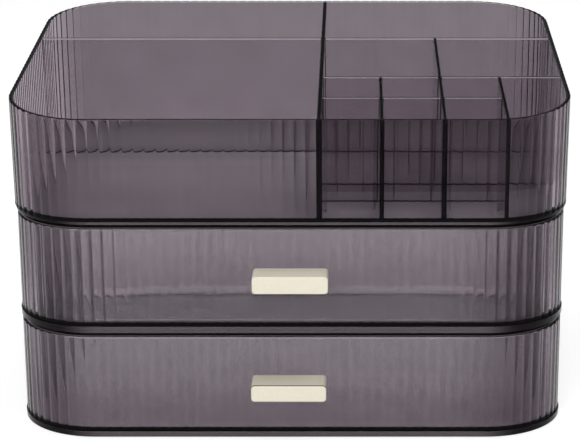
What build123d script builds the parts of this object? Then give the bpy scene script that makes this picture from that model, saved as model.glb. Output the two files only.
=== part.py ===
from build123d import *

import math
import os

# Makeup drawer organizer: an open tray with dividers over two drawers in a fluted case.
# Millimetres. X is to the right, Y is to the back and Z is up.
# The origin is the middle of the underside of the base plate.

# Case, measured over the crests of its flutes
case_width = 300.0
case_depth = 222.0
corner_radius = 43.5
wall = 2.5
plate_overhang = 0.5
base_thickness = 3.0
shelf_thickness = 3.6
deck_thickness = 1.6
bay_height = 57.0

# Flutes, the rounded upright ribs all round the outside
flute_pitch = 6.0
flute_depth = 0.4

# Drawers
drawer_height = 54.0
drawer_floor = 2.1
running_gap = 0.3
side_gap = 0.5
front_gap = 0.5

# Handles and their screws
handle_width = 40.0
handle_reach = 16.5
handle_height = 9.3
handle_above_middle = 1.2
handle_edge_radius = 1.2
handle_bevel = 0.5
screw_spacing = 24.0
screw_diameter = 3.0
screw_head_diameter = 5.6
screw_head_height = 1.8
screw_bite = 9.0
screw_slack = 0.1
screw_hole_slack = 0.4

# Tray
tray_overhang = 1.75
tray_floor = 2.5
tray_front_height = 55.6
tray_back_height = 78.7
long_divider_thickness = 2.5
divider_thickness = 2.0
lap_gap = 0.1

# Places of the dividers, as shares of the tray's size
long_divider_share = 0.054
column_share = 0.248
rear_cross_share = 0.6475
middle_cross_share = 0.3215
front_cross_share = 0.165

# Studs on the deck that keep the tray from sliding
stud_diameter = 8.0
stud_height = 1.2
stud_gap = 0.3
stud_inset_x = 26.0
stud_inset_y = 26.0

# Heights worked out from the sizes above
lower_bay_z = base_thickness
shelf_z = lower_bay_z + bay_height
upper_bay_z = shelf_z + shelf_thickness
deck_z = upper_bay_z + bay_height
tray_z = deck_z + deck_thickness
tray_floor_z = tray_z + tray_floor

# Plan sizes worked out from the sizes above
tray_width = case_width + 2 * tray_overhang
tray_depth = case_depth + 2 * tray_overhang
tray_radius = corner_radius + tray_overhang
tray_front_y = -tray_depth / 2
drawer_front_end = -case_depth / 2 + corner_radius
wall_start = drawer_front_end + front_gap
long_divider_x = long_divider_share * tray_width
column_pitch = column_share * (tray_width / 2 - wall - long_divider_x)
rear_cross_y = tray_front_y + rear_cross_share * tray_depth
middle_cross_y = tray_front_y + middle_cross_share * tray_depth
front_cross_y = tray_front_y + front_cross_share * tray_depth
far = 2 * (case_width + case_depth)


def point_on_outline(distance, width, depth, radius):
    """Place and outward direction on a rounded rectangle, at a distance from the middle of its front."""
    x, y, heading = 0.0, -depth / 2, 0.0
    half_front = width / 2 - radius
    side = depth - 2 * radius
    for run in (half_front, side, 2 * half_front, side, half_front):
        step = min(distance, run)
        x += step * math.cos(heading)
        y += step * math.sin(heading)
        distance -= step
        if distance <= 0:
            break
        turn = min(distance / radius, math.pi / 2)
        centre_x = x - radius * math.sin(heading)
        centre_y = y + radius * math.cos(heading)
        heading += turn
        x = centre_x + radius * math.sin(heading)
        y = centre_y - radius * math.cos(heading)
        distance -= turn * radius
        if distance <= 0:
            break
    return Vector(x, y, 0), Vector(math.sin(heading), -math.cos(heading), 0)


def fluted_face(width, depth, radius):
    """A rounded rectangle whose edge is a row of arcs, with a crest at the middle of the front."""
    width, depth, radius = width - 2 * flute_depth, depth - 2 * flute_depth, radius - flute_depth
    length = 2 * (width + depth) - 8 * radius + 2 * math.pi * radius
    count = 2 * round(length / flute_pitch / 2)
    pitch = length / count
    valleys = []
    crests = []
    for i in range(count):
        valleys.append(point_on_outline((i + 0.5) * pitch, width, depth, radius)[0])
        place, outward = point_on_outline(((i + 1) % count) * pitch, width, depth, radius)
        crests.append(place + outward * flute_depth)
    arcs = []
    for i in range(count):
        arcs.append(ThreePointArc(valleys[i], crests[i], valleys[(i + 1) % count]))
    return Face(Wire(arcs))


def plain_face(width, depth, radius):
    """A rounded rectangle with a smooth edge."""
    return RectangleRounded(width, depth, radius)


def prism(face, low, high):
    """The face pulled up between two heights."""
    return Pos(0, 0, low) * extrude(face, amount=high - low)


def slab(low_x, high_x, low_y, high_y, low_z, high_z):
    """A block between six planes."""
    block = Box(high_x - low_x, high_y - low_y, high_z - low_z, align=(Align.MIN, Align.MIN, Align.MIN))
    return Pos(low_x, low_y, low_z) * block


def in_front_of(y):
    """All of space in front of the upright plane at y."""
    return slab(-far, far, -far, y, -far, far)


def behind(y):
    """All of space behind the upright plane at y."""
    return slab(-far, far, y, far, -far, far)


def plate(low, thickness):
    """A smooth plate that stands a little proud of the walls."""
    width = case_width + 2 * plate_overhang
    depth = case_depth + 2 * plate_overhang
    return prism(plain_face(width, depth, corner_radius + plate_overhang), low, low + thickness)


def case_wall(low):
    """Two sides and a back in one fluted piece, with its front edges just behind the drawer front."""
    outside = prism(fluted_face(case_width, case_depth, corner_radius), low, low + bay_height)
    inside_face = plain_face(case_width - 2 * wall, case_depth - 2 * wall, corner_radius - wall)
    inside = prism(inside_face, low, low + bay_height)
    return (outside - inside) & behind(wall_start)


def drawer_tub(low):
    """A drawer in one piece: a fluted front with round corners and a narrower box behind it."""
    high = low + drawer_height
    front = prism(fluted_face(case_width, case_depth, corner_radius), low, high)
    box_inset = wall + side_gap
    box_width = case_width - 2 * box_inset
    box_depth = case_depth - 2 * box_inset
    box_radius = corner_radius - box_inset
    box = prism(plain_face(box_width, box_depth, box_radius), low, high)
    outside = (front & in_front_of(drawer_front_end)) + (box & behind(drawer_front_end - wall))
    floor_top = low + drawer_floor
    front_room_face = plain_face(case_width - 2 * wall, case_depth - 2 * wall, corner_radius - wall)
    front_room = prism(front_room_face, floor_top, high)
    box_room_face = plain_face(box_width - 2 * wall, box_depth - 2 * wall, box_radius - wall)
    box_room = prism(box_room_face, floor_top, high)
    room = (front_room & in_front_of(drawer_front_end - wall)) + (box_room & behind(drawer_front_end - 2 * wall))
    tub = outside - room
    hole_diameter = screw_diameter + screw_hole_slack
    for place in screw_places(low):
        tub -= place * Cylinder(hole_diameter / 2, 2 * wall)
    return tub


def handle_middle_z(low):
    """Height of the middle of a drawer's handle."""
    return low + drawer_height / 2 + handle_above_middle


def screw_places(low):
    """The two screw axes, at the inner face of the drawer front, pointing to the back."""
    places = []
    for side in (-1, 1):
        middle = Vector(side * screw_spacing / 2, -case_depth / 2 + wall, handle_middle_z(low))
        places.append(Location(Plane(origin=middle, x_dir=(1, 0, 0), z_dir=(0, 1, 0))))
    return places


def handle(low):
    """A solid bar with rounded ends and bevelled front edges, drilled for its two screws."""
    middle_z = handle_middle_z(low)
    back = -case_depth / 2
    bar = slab(-handle_width / 2, handle_width / 2, back - handle_reach, back,
               middle_z - handle_height / 2, middle_z + handle_height / 2)
    bar = fillet(bar.edges().filter_by(Axis.Y), handle_edge_radius)
    bar = fillet(bar.faces().sort_by(Axis.Y)[0].edges(), handle_bevel)
    bore = Cylinder((screw_diameter + screw_slack) / 2, screw_bite + screw_slack,
                    align=(Align.CENTER, Align.CENTER, Align.MAX))
    for place in screw_places(low):
        bar -= place * Pos(0, 0, -wall) * bore
    return bar


def handle_screws(low):
    """Two pan-head screws from inside the drawer into the handle."""
    shank = Cylinder(screw_diameter / 2, wall + screw_bite, align=(Align.CENTER, Align.CENTER, Align.MAX))
    head = Cylinder(screw_head_diameter / 2, screw_head_height, align=(Align.CENTER, Align.CENTER, Align.MIN))
    head = fillet(head.faces().sort_by(Axis.Z)[-1].edges(), screw_head_height / 3)
    screws = []
    for place in screw_places(low):
        screws.append(place * (shank + head))
    return Compound(screws)


def stud_points():
    """Where the four studs stand on the deck."""
    x = case_width / 2 - stud_inset_x
    y = case_depth / 2 - stud_inset_y
    return [(-x, -y), (x, -y), (x, y), (-x, y)]


def tray_studs():
    """Four low round studs on the deck."""
    studs = []
    for x, y in stud_points():
        stud = Cylinder(stud_diameter / 2, stud_height, align=(Align.CENTER, Align.CENTER, Align.MIN))
        studs.append(Pos(x, y, tray_z) * stud)
    return Compound(studs)


def above_rim():
    """All of space above the rim, which climbs in a straight line from the front to the back."""
    slope = (tray_back_height - tray_front_height) / tray_depth
    front_y, back_y = -far, far
    front_z = tray_z + tray_front_height + slope * (front_y - tray_front_y)
    back_z = tray_z + tray_front_height + slope * (back_y - tray_front_y)
    side_view = Polygon([(front_y, front_z), (back_y, back_z), (back_y, 2 * far), (front_y, 2 * far)], align=None)
    return extrude(Plane.YZ * side_view, amount=far, both=True)


def tray_room():
    """The inside of the tray, from its floor to its sloping rim."""
    inside_face = plain_face(tray_width - 2 * wall, tray_depth - 2 * wall, tray_radius - wall)
    return prism(inside_face, tray_floor_z, tray_z + tray_back_height) - above_rim()


def tray_shell():
    """Floor and fluted wall in one piece, open at the top, with four blind holes for the studs."""
    outside = prism(fluted_face(tray_width, tray_depth, tray_radius), tray_z, tray_z + tray_back_height)
    inside_face = plain_face(tray_width - 2 * wall, tray_depth - 2 * wall, tray_radius - wall)
    shell = outside - prism(inside_face, tray_floor_z, tray_z + tray_back_height) - above_rim()
    for x, y in stud_points():
        pocket = Cylinder(stud_diameter / 2 + stud_gap, stud_height + stud_gap,
                          align=(Align.CENTER, Align.CENTER, Align.MIN))
        shell -= Pos(x, y, tray_z) * pocket
    return shell


def lap_slot(x, y, across_x, across_y, upper):
    """Half-height cut where two dividers cross, in the upper or the lower half of one of them."""
    half_x = across_x / 2 + lap_gap
    half_y = across_y / 2 + lap_gap
    lap_z = tray_floor_z + (tray_front_height - tray_floor) / 2
    if upper:
        return slab(x - half_x, x + half_x, y - half_y, y + half_y, lap_z - lap_gap / 2, far)
    return slab(x - half_x, x + half_x, y - half_y, y + half_y, -far, lap_z + lap_gap / 2)


def column_x(number):
    """Middle of a front-to-back divider, counted from the long one."""
    return long_divider_x + number * column_pitch


def long_wall(x, thickness, back_y, crossings):
    """A front-to-back divider from the tray front to back_y, notched from above at its crossings."""
    divider = slab(x - thickness / 2, x + thickness / 2, -far, back_y, -far, far) & tray_room()
    for y in crossings:
        divider -= lap_slot(x, y, thickness, divider_thickness, True)
    return divider


def cross_wall(y, low_x, high_x, crossings):
    """A left-to-right divider between low_x and high_x, notched from below at its crossings."""
    half = divider_thickness / 2
    divider = slab(low_x, high_x, y - half, y + half, -far, far) & tray_room()
    for x, thickness in crossings:
        divider -= lap_slot(x, y, thickness, divider_thickness, False)
    return divider


def tray_dividers():
    """The seven dividers, by name."""
    half = divider_thickness / 2
    long_right = long_divider_x + long_divider_thickness / 2
    inner_x, middle_x, outer_x = column_x(1), column_x(2), column_x(3)
    return {
        "tray_long_divider": long_wall(long_divider_x, long_divider_thickness, far, [rear_cross_y]),
        "tray_inner_column_divider": long_wall(
            inner_x, divider_thickness, middle_cross_y - half, [front_cross_y]),
        "tray_middle_column_divider": long_wall(
            middle_x, divider_thickness, rear_cross_y - half, [middle_cross_y, front_cross_y]),
        "tray_outer_column_divider": long_wall(outer_x, divider_thickness, middle_cross_y - half, []),
        "tray_rear_cross_divider": cross_wall(
            rear_cross_y, -far, far, [(long_divider_x, long_divider_thickness)]),
        "tray_middle_cross_divider": cross_wall(
            middle_cross_y, long_right, far, [(middle_x, divider_thickness)]),
        "tray_front_cross_divider": cross_wall(
            front_cross_y, long_right, outer_x - half,
            [(inner_x, divider_thickness), (middle_x, divider_thickness)]),
    }


def all_parts():
    """Every piece, by name, where it stands in the finished organizer."""
    parts = {
        "base_plate": plate(0, base_thickness),
        "lower_case_wall": case_wall(lower_bay_z),
        "middle_shelf": plate(shelf_z, shelf_thickness),
        "upper_case_wall": case_wall(upper_bay_z),
        "top_deck": plate(deck_z, deck_thickness),
        "tray_locating_studs": tray_studs(),
        "tray_shell": tray_shell(),
    }
    parts.update(tray_dividers())
    for name, bay_z in (("lower", lower_bay_z), ("upper", upper_bay_z)):
        drawer_z = bay_z + running_gap
        parts[name + "_drawer_tub"] = drawer_tub(drawer_z)
        parts[name + "_drawer_handle"] = handle(drawer_z)
        parts[name + "_drawer_handle_screws"] = handle_screws(drawer_z)
    return parts


os.makedirs("parts", exist_ok=True)
for part_name, part_shape in all_parts().items():
    export_step(part_shape, os.path.join("parts", part_name + ".step"))
    size = part_shape.bounding_box().size
    print(part_name, round(size.X, 2), round(size.Y, 2), round(size.Z, 2))
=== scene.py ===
# %% [markdown]
# # A makeup organizer in smoky clear plastic
# Three tiers share one rounded, fluted outline: two drawers in a case, and a divided tray on top whose rim climbs
# towards the back. The scene stands in the same frame as the CAD model, so every piece goes where the model says.
# The lesson is about clear plastic. Such an object is drawn by its edges, by the tint that builds up from wall to
# wall, and by the way the flutes bend what is behind them. Single sheets with a see-through shader would be quicker
# to make, but they have no dark edges and bend nothing, so every wall is built as a closed body of real thickness.

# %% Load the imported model
import math

import bpy
import numpy as np
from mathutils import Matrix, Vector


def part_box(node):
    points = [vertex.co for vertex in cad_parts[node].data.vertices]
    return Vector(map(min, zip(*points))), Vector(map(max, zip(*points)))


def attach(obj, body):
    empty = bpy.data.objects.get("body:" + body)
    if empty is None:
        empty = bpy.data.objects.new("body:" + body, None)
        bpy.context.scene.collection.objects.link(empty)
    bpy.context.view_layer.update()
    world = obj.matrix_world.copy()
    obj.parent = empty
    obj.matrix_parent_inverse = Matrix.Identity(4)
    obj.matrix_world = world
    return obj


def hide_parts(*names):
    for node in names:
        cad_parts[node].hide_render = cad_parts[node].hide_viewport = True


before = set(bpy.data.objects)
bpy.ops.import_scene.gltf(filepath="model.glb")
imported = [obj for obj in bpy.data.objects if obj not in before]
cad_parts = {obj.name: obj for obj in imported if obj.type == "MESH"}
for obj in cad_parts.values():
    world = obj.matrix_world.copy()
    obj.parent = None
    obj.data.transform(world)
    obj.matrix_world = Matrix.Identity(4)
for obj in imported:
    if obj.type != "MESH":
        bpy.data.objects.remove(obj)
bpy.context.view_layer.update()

# %% [markdown]
# The sizes come from the boxes of the CAD nodes, so the pieces fit the frame with no guessing. They are kept in
# millimetres, as on a workshop drawing, and become metres only when a mesh is made.


# %% Boxes of the CAD nodes
MM = 0.001
X, Y, Z = 0, 1, 2


def box_mm(node):
    """The lowest and highest corners of a CAD node in millimetres: metres / 0.001."""
    low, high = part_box(node)
    return np.array(low) / MM, np.array(high) / MM


def middle(node, axis):
    """The middle of a CAD node along an axis, in millimetres: (lowest + highest) / 2."""
    low, high = box_mm(node)
    return (low[axis] + high[axis]) / 2


case_low, case_high = box_mm("lower_case_wall")
tray_low, tray_high = box_mm("tray_shell")
CASE_WIDTH, CASE_DEPTH = case_high[X] - case_low[X], 2 * case_high[Y]
TRAY_WIDTH, TRAY_DEPTH = 2 * tray_high[X], 2 * tray_high[Y]
print("case %.1f x %.1f mm, tray %.1f x %.1f mm" % (CASE_WIDTH, CASE_DEPTH, TRAY_WIDTH, TRAY_DEPTH))

# %% [markdown]
# A box doesn't tell how round a corner is or how thick a wall is, so these sizes are written here as the CAD model
# has them. Only the two small roundings are the scene's own, because a moulded edge is never quite sharp.

# %% Corners and walls
CORNER_RADIUS = 43.5
WALL = 2.5
THIN_DIVIDER = 2.0
EDGE = 0.5  # rounding of a wall's edge, the scene's own
FILLET = 0.6  # rounding between a wall and its floor, the scene's own
TRAY_RADIUS = CORNER_RADIUS + (TRAY_DEPTH - CASE_DEPTH) / 2
DRAWER_FRONT_END = -CASE_DEPTH / 2 + CORNER_RADIUS  # depth at which the round front corners end
case_corner_x = CASE_WIDTH / 2 - CORNER_RADIUS
tray_corner_x, tray_corner_y = TRAY_WIDTH / 2 - TRAY_RADIUS, TRAY_DEPTH / 2 - TRAY_RADIUS
print("corner radius of the case", CORNER_RADIUS, "mm, of the tray", TRAY_RADIUS, "mm")

# %% [markdown]
# The outline of every tier is a rounded rectangle. A curve object could draw it, but a formula can be asked for any
# point on the way round, and the flutes need that. It is the sum of a smaller rectangle and a circle: the point on
# the rectangle waits in its corner while the circle turns, and the circle's direction rests along the sides.


# %% Rounded outline
def outline(width, depth, radius, share):
    """Points and outward directions on a rounded rectangle, at shares 0 to 1 of the way round from the middle of
    the front. Point = corner point of the inner rectangle + radius * (sin heading, -cos heading)."""
    x, y, quarter = width / 2 - radius, depth / 2 - radius, math.pi * radius / 2
    runs = np.array([0, x, quarter, 2 * y, quarter, 2 * x, quarter, 2 * y, quarter, x])
    walked = np.cumsum(runs)
    distance = share * walked[-1]
    heading = np.interp(distance, walked, np.array([0, 0, 1, 1, 2, 2, 3, 3, 4, 4]) * math.pi / 2)
    inner_x = np.interp(distance, walked, [0, x, x, x, x, -x, -x, -x, -x, 0])
    inner_y = np.interp(distance, walked, [-y, -y, -y, y, y, y, y, -y, -y, -y])
    outward = np.stack([np.sin(heading), -np.cos(heading)], axis=1)
    return np.stack([inner_x, inner_y], axis=1) + radius * outward, outward


def outline_length(width, depth, radius):
    """Length of a rounded rectangle's edge: 2 * (width + depth) - 8 * radius + 2 * pi * radius."""
    return 2 * (width + depth) - 8 * radius + 2 * math.pi * radius


case_length = outline_length(CASE_WIDTH, CASE_DEPTH, CORNER_RADIUS)
front_share = (case_corner_x + math.pi * CORNER_RADIUS / 2) / case_length
print("round the case: %.0f mm; a corner ends %.3f of the way round" % (case_length, front_share))

# %% [markdown]
# The flutes are shallow round ribs, side by side all round the moulded walls. A bump map would leave the edges
# straight, so the flutes are in the mesh: each point of the outline moves outwards by the flute's height there.
# They are 0.6 mm deep here and 0.4 mm in the CAD model, to bend what is behind them more clearly.


# %% Flutes
FLUTE_PITCH = 6.0
FLUTE_DEPTH = 0.6
CREST_POWER = 2.6
POINTS_PER_FLUTE = 10


def flute_count(width, depth, radius):
    """An even number near length / pitch, 2 * round(length / pitch / 2), so a crest stands in the middle in front."""
    return 2 * round(outline_length(width, depth, radius) / FLUTE_PITCH / 2)


def flute_height(share, count):
    """Height above the valleys = depth * (1 - |across| ^ 2.6), where across runs from -1 to 1 over one flute. The
    power gives a broad crest that falls steeply at its ends."""
    across = (share * count + 0.5) % 1.0 * 2 - 1
    return FLUTE_DEPTH * (1 - np.abs(across) ** CREST_POWER)


tray_flutes = flute_count(TRAY_WIDTH, TRAY_DEPTH, TRAY_RADIUS)
case_flutes = flute_count(CASE_WIDTH, CASE_DEPTH, CORNER_RADIUS)
print("flutes round the tray:", tray_flutes, "round the case:", case_flutes)

# %% [markdown]
# Blender gets each shape as a list of points and a list of faces. Smooth shading alone would tilt the normals of the
# flat walls beside their small round edges, and clear plastic shows every such error, because it bends the light.
# A modifier therefore weights each normal by the size of the faces round it. The volume is printed because its sign
# tells whether the faces point outwards.


# %% From points to an object
NORMAL_WEIGHT = 80  # over 50, large faces count for more


def per_item(items, field, width, kind=np.float32):
    """One row of numbers for each item of a Blender list, such as the middle of each face."""
    values = np.empty(len(items) * width, dtype=kind)
    items.foreach_get(field, values)
    return values.reshape(len(items), width)


def object_from(name, points, faces, smooth=True):
    """A mesh object from points in millimetres. Its volume is the sum of area * (middle . normal) / 3 over all faces.
    It starts with a white painted shade on each face, which darkens nothing: a material reads a missing one as black."""
    mesh = bpy.data.meshes.new(name)
    mesh.from_pydata((points * MM).tolist(), [], faces)
    mesh.shade_smooth() if smooth else mesh.shade_flat()
    mesh.validate()
    size = len(mesh.polygons)
    towards = (per_item(mesh.polygons, "center", 3) * per_item(mesh.polygons, "normal", 3)).sum(axis=1)
    volume = (towards * per_item(mesh.polygons, "area", 1)[:, 0]).sum() / 3
    print("%-40s %6d faces, %9.0f mm3" % (name, size, volume / MM ** 3))
    mesh.attributes.new("painted_shade", "FLOAT_COLOR", "FACE")
    mesh.attributes["painted_shade"].data.foreach_set("color", np.ones(4 * size, dtype=np.float32))
    obj = bpy.data.objects.new(name, mesh)
    bpy.context.scene.collection.objects.link(obj)
    if smooth:
        weighted = obj.modifiers.new("flat faces stay flat", "WEIGHTED_NORMAL")
        weighted.weight = NORMAL_WEIGHT
    return obj


print("objects are made from points in millimetres, in a frame with", len(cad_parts), "CAD nodes")

# %% [markdown]
# Most pieces are a stack of rings, like a pot that is drawn level by level: up the outside, over the rim and down the
# inside. Every ring has the same number of points, so neighbouring rings are joined by quads, and the first and the
# last ring are closed by a fan. The body is then watertight, which a volume of tinted plastic needs.


# %% Stack of rings
def ring_quads(rings, count):
    """Quads between neighbouring closed rings of count points: a point, the next one on its ring, and the same two
    one ring further on. They face outwards on rings that climb the outside."""
    row = np.arange(rings - 1)[:, None] * count
    here = np.arange(count)[None, :]
    after = (here + 1) % count
    return np.stack([row + here, row + after, row + count + after, row + count + here], axis=-1).reshape(-1, 4)


def closed_stack(name, rings):
    """A closed body from a list of rings, each an array of (points, 3). Each end is a fan round its ring's middle."""
    count, hub = len(rings[0]), len(rings) * len(rings[0])
    here = np.arange(count)
    after = (here + 1) % count
    points = np.concatenate([*rings, [rings[0].mean(axis=0), rings[-1].mean(axis=0)]])
    bottom = np.stack([after, here, np.full(count, hub)], axis=1)
    top = np.stack([hub - count + here, hub - count + after, np.full(count, hub + 1)], axis=1)
    return object_from(name, points, ring_quads(len(rings), count).tolist() + bottom.tolist() + top.tolist())


def quarter_turn(steps):
    """Sines and cosines of the angles from 0 to 90 degrees, for a round edge."""
    angle = np.linspace(0, math.pi / 2, steps)
    return np.sin(angle), np.cos(angle)


round_edge = list(zip(*quarter_turn(4)))
print("a round edge has", len(round_edge) - 1, "steps; 3 rings of 4 points have", len(ring_quads(3, 4)), "quads")

# %% [markdown]
# The materials are made by nodes alone, with no pictures. Colours are written as the sRGB hex codes that an eye or a
# colour chart gives, and one function turns them into the linear values that Blender calculates with. One more
# function adds any node with its settings and its links, so that each material reads from top to bottom.


# %% Colours and nodes
def linear(code):
    """Linear red, green, blue and alpha of an sRGB hex colour such as 8A7F86: value / 12.92 for the darkest, and
    ((value + 0.055) / 1.055) ^ 2.4 for the rest."""
    values = np.array([int(code[i:i + 2], 16) for i in (0, 2, 4)]) / 255
    bright = np.where(values <= 0.04045, values / 12.92, ((values + 0.055) / 1.055) ** 2.4)
    return (*bright.tolist(), 1.0)


def add(tree, kind, links=(), **settings):
    """Adds a node, sets its properties or socket values by name, and links (socket, from_node, from_socket)."""
    def find(sockets, key):
        """The socket with this number, or the one in use with this name."""
        if isinstance(key, int):
            return sockets[key]
        return next(s for s in sockets if s.enabled and s.name == key.replace("_", " "))

    node = tree.nodes.new(kind)
    own = [key for key in settings if hasattr(node, key)]
    for key in own:
        setattr(node, key, settings[key])
    for key in settings:
        if key not in own:
            find(node.inputs, key).default_value = settings[key]
    for socket, source, output in links:
        tree.links.new(find(source.outputs, output), find(node.inputs, socket))
    return node


def new_material(name):
    """An empty node material and its tree."""
    material = bpy.data.materials.new(name)
    material.use_nodes = True
    material.node_tree.nodes.clear()
    return material, material.node_tree


print("mid grey 808080 is", round(linear("808080")[0], 3), "in linear light")

# %% [markdown]
# The organizer is moulded in clear polystyrene with a little violet-grey dye in it. The dye sits in the depth, so one
# wall looks pale, a stack of walls looks smoky, and a long way along a wall looks almost black. A tinted surface
# can't do that. An absorbing volume inside the closed walls can, and its strength follows from one measurable thing:
# the colour that white light has after one wall.


# %% Dye in the depth of the plastic
SPARE_DENSITY = 1.02  # keeps every channel of the volume's colour a little above black


def through(code, wall):
    """Colour and density of an absorbing volume, from the colour that white light has after a wall (millimetres).
    Absorption of each channel = -ln(colour) / wall. Density is a little over the largest one, and colour is
    1 - absorption / density."""
    absorbed = -np.log(np.array(linear(code)[:3])) / (wall * MM)
    density = float(absorbed.max()) * SPARE_DENSITY
    return (*(1 - absorbed / density).tolist(), 1.0), density


print("a 2.5 mm wall that shows white as F3EFF2 has a density of", round(through("F3EFF2", WALL)[1], 1), "per metre")

# %% [markdown]
# Polystyrene is injected hot into polished steel moulds. Its skin is as smooth as the steel and reflects sharply,
# but it shrinks unevenly as it cools, which leaves slow swells about 15 mm across. They are drawn 0.03 mm high, more
# than the real ones, which would be too fine to show. The index of polystyrene is about 1.59. It was matched to the
# photograph and came out at 1.47, which mirrors less at each face. The sheen is dim, as behind a polarising filter.


# %% Clear plastic
PLASTIC_INDEX = 1.47
MOULD_POLISH = 0.015  # roughness
DIM_SHEEN = (0.14, 0.11, 0.13, 1.0)
SWELL_SIZE = 15.0
SWELL_HEIGHT = 0.03


def clear_plastic(name, wall_colour, wall, shade=None, index=PLASTIC_INDEX, by_face=True):
    """Glass of the plastic's index, with a dye in its depth that is as strong as wall_colour after a wall of that
    thickness in millimetres. shade = (axis, first colour, last colour, from, to) paints shade as a surface tint that
    changes along an axis, between two places in millimetres. by_face reads the haze and the painted shade that are
    written on the faces."""
    material, tree = new_material(name)
    place = add(tree, "ShaderNodeTexCoord")
    axis, first, last, start, end = shade or ("Z", "FFFFFF", "FFFFFF", 0, 1)
    along = add(tree, "ShaderNodeSeparateXYZ", [("Vector", place, "Object")])
    share = add(tree, "ShaderNodeMapRange", [("Value", along, axis)], interpolation_type="SMOOTHSTEP",
                From_Min=start * MM, From_Max=end * MM)
    colour = add(tree, "ShaderNodeMix", [("Factor", share, "Result")], data_type="RGBA",
                 A=linear(first), B=linear(last))
    swell = add(tree, "ShaderNodeTexNoise", [("Vector", place, "Object")], Scale=1 / (SWELL_SIZE * MM), Detail=1.0)
    uneven = add(tree, "ShaderNodeMapRange", [("Value", swell, 0)], From_Min=0.3, From_Max=0.7, To_Min=0.95)
    colour = add(tree, "ShaderNodeMix", [("A", colour, "Result"), ("B", uneven, "Result")], data_type="RGBA",
                 blend_type="MULTIPLY", Factor=1.0)
    own = []
    if by_face:
        # the painted shade written on the faces darkens the surface tint
        painted_shade = add(tree, "ShaderNodeAttribute", attribute_name="painted_shade")
        colour = add(tree, "ShaderNodeMix", [("A", colour, "Result"), ("B", painted_shade, 0)], data_type="RGBA",
                     blend_type="MULTIPLY", Factor=1.0)
        haze = add(tree, "ShaderNodeAttribute", attribute_name="haze")
        clear = add(tree, "ShaderNodeMath", [(1, haze, 2)], operation="SUBTRACT")
        clear.inputs[0].default_value = 1.0
        own = [("Transmission_Weight", clear, 0)]
    gloss = add(tree, "ShaderNodeMapRange", [("Value", swell, 0)],
                To_Min=MOULD_POLISH * 0.6, To_Max=MOULD_POLISH * 1.4)
    ripple = add(tree, "ShaderNodeBump", [("Height", swell, 0)], Strength=1.0, Distance=SWELL_HEIGHT * MM)
    shader = add(tree, "ShaderNodeBsdfPrincipled",
                 [("Base_Color", colour, "Result"), ("Roughness", gloss, "Result"), ("Normal", ripple, "Normal"), *own],
                 IOR=index, Specular_Tint=DIM_SHEEN, Transmission_Weight=1.0)
    dye, density = through(wall_colour, wall)
    inside = add(tree, "ShaderNodeVolumeAbsorption", Color=dye, Density=density)
    add(tree, "ShaderNodeOutputMaterial", [("Surface", shader, "BSDF"), ("Volume", inside, "Volume")])
    return material


print("swells: %g mm across and %g mm high, noise scale %.1f per metre" % (
    SWELL_SIZE, SWELL_HEIGHT, 1 / (SWELL_SIZE * MM)))

# %% [markdown]
# The real object probably has one plastic. Each kind of piece gets its own mix of it here, because the tints were
# matched to the photograph piece by piece: their differences are painted light and shade. The plates have a low
# index, so their edges mirror little. The ribs over the drawers are dark, as light that enters them stays trapped.
# The lower drawer's tint deepens towards its foot: painted shade.

# %% The plastics of the organizer
smoke_tray = clear_plastic("smoke_polystyrene_tray", "E8E3E7", WALL)
smoke_divider = clear_plastic("smoke_polystyrene_dividers", "E7E4E7", THIN_DIVIDER)
smoke_case = clear_plastic("smoke_polystyrene_case", "F3EFF2", WALL)
smoke_sheet = clear_plastic("smoke_polystyrene_sheet", "F7F6F7", WALL, index=1.2)
smoke_rib = clear_plastic("smoke_polystyrene_rib", "8C848B", WALL)
smoke_stud = clear_plastic("smoke_polystyrene_studs", "8A8389", WALL, by_face=False)
smoke_upper_drawer = clear_plastic("smoke_polystyrene_upper_drawer", "F0EEF0", WALL)
# painted shade: the lower drawer's surface tint darkens from 60 mm down to its foot
smoke_lower_drawer = clear_plastic("smoke_polystyrene_lower_drawer", "F0EEF0", WALL,
                                   shade=("Z", "CBC5CA", "FFFFFF", 5, 60))
print("plastics:", [material.name for material in bpy.data.materials if material.name.startswith("smoke")])

# %% [markdown]
# Look at the edge of a clear ruler: it is almost black, because light that runs along a sheet is trapped between its
# faces and leaves elsewhere. The same happens at a weld, where solvent has glued two sheets. Cycles would need very
# many bounces to find that out by itself, so those narrow faces get an opaque, nearly black finish. Its index is
# close to 1, which leaves it no reflection of its own: the eye is meant to see only that no light comes out.


# %% Trapped light
TRAPPED_INDEX = 1.08


def trapped_light(name, code, roughness):
    """A nearly black opaque finish whose gloss drifts over the swells of the moulded surface."""
    material, tree = new_material(name)
    place = add(tree, "ShaderNodeTexCoord")
    swell = add(tree, "ShaderNodeTexNoise", [("Vector", place, "Object")], Scale=1 / (SWELL_SIZE * MM), Detail=1.0)
    gloss = add(tree, "ShaderNodeMapRange", [("Value", swell, 0)], To_Min=roughness * 0.7, To_Max=roughness * 1.3)
    shader = add(tree, "ShaderNodeBsdfPrincipled", [("Roughness", gloss, "Result")],
                 Base_Color=linear(code), IOR=TRAPPED_INDEX)
    add(tree, "ShaderNodeOutputMaterial", [("Surface", shader, "BSDF")])
    return material


seam = trapped_light("smoke_polystyrene_welded_seam", "0C0A0C", 0.3)
dark_edge = trapped_light("smoke_polystyrene_edge_on", "100E10", 0.25)
print("dark finishes:", seam.name, "and", dark_edge.name)

# %% [markdown]
# The handles are taken to be cast metal bars, sprayed with a pale champagne lacquer. Such a coat is satin: it has a
# soft sheen, and its colour drifts a little with its thickness, in clouds about 2 mm wide on a skin that is 0.0015 mm
# rough. The neck at the drawer looks dull and olive in the photograph, and the lower bar has a thin dark line along
# its front edge, so each gets a finish of its own: painted shade in the neck where the bar meets the drawer, and a
# painted dark line along the edge. The hidden screws are zinc-plated steel, with grains of 1 mm.


# %% Lacquer and steel
SKIN_HEIGHT = 0.0015


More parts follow.
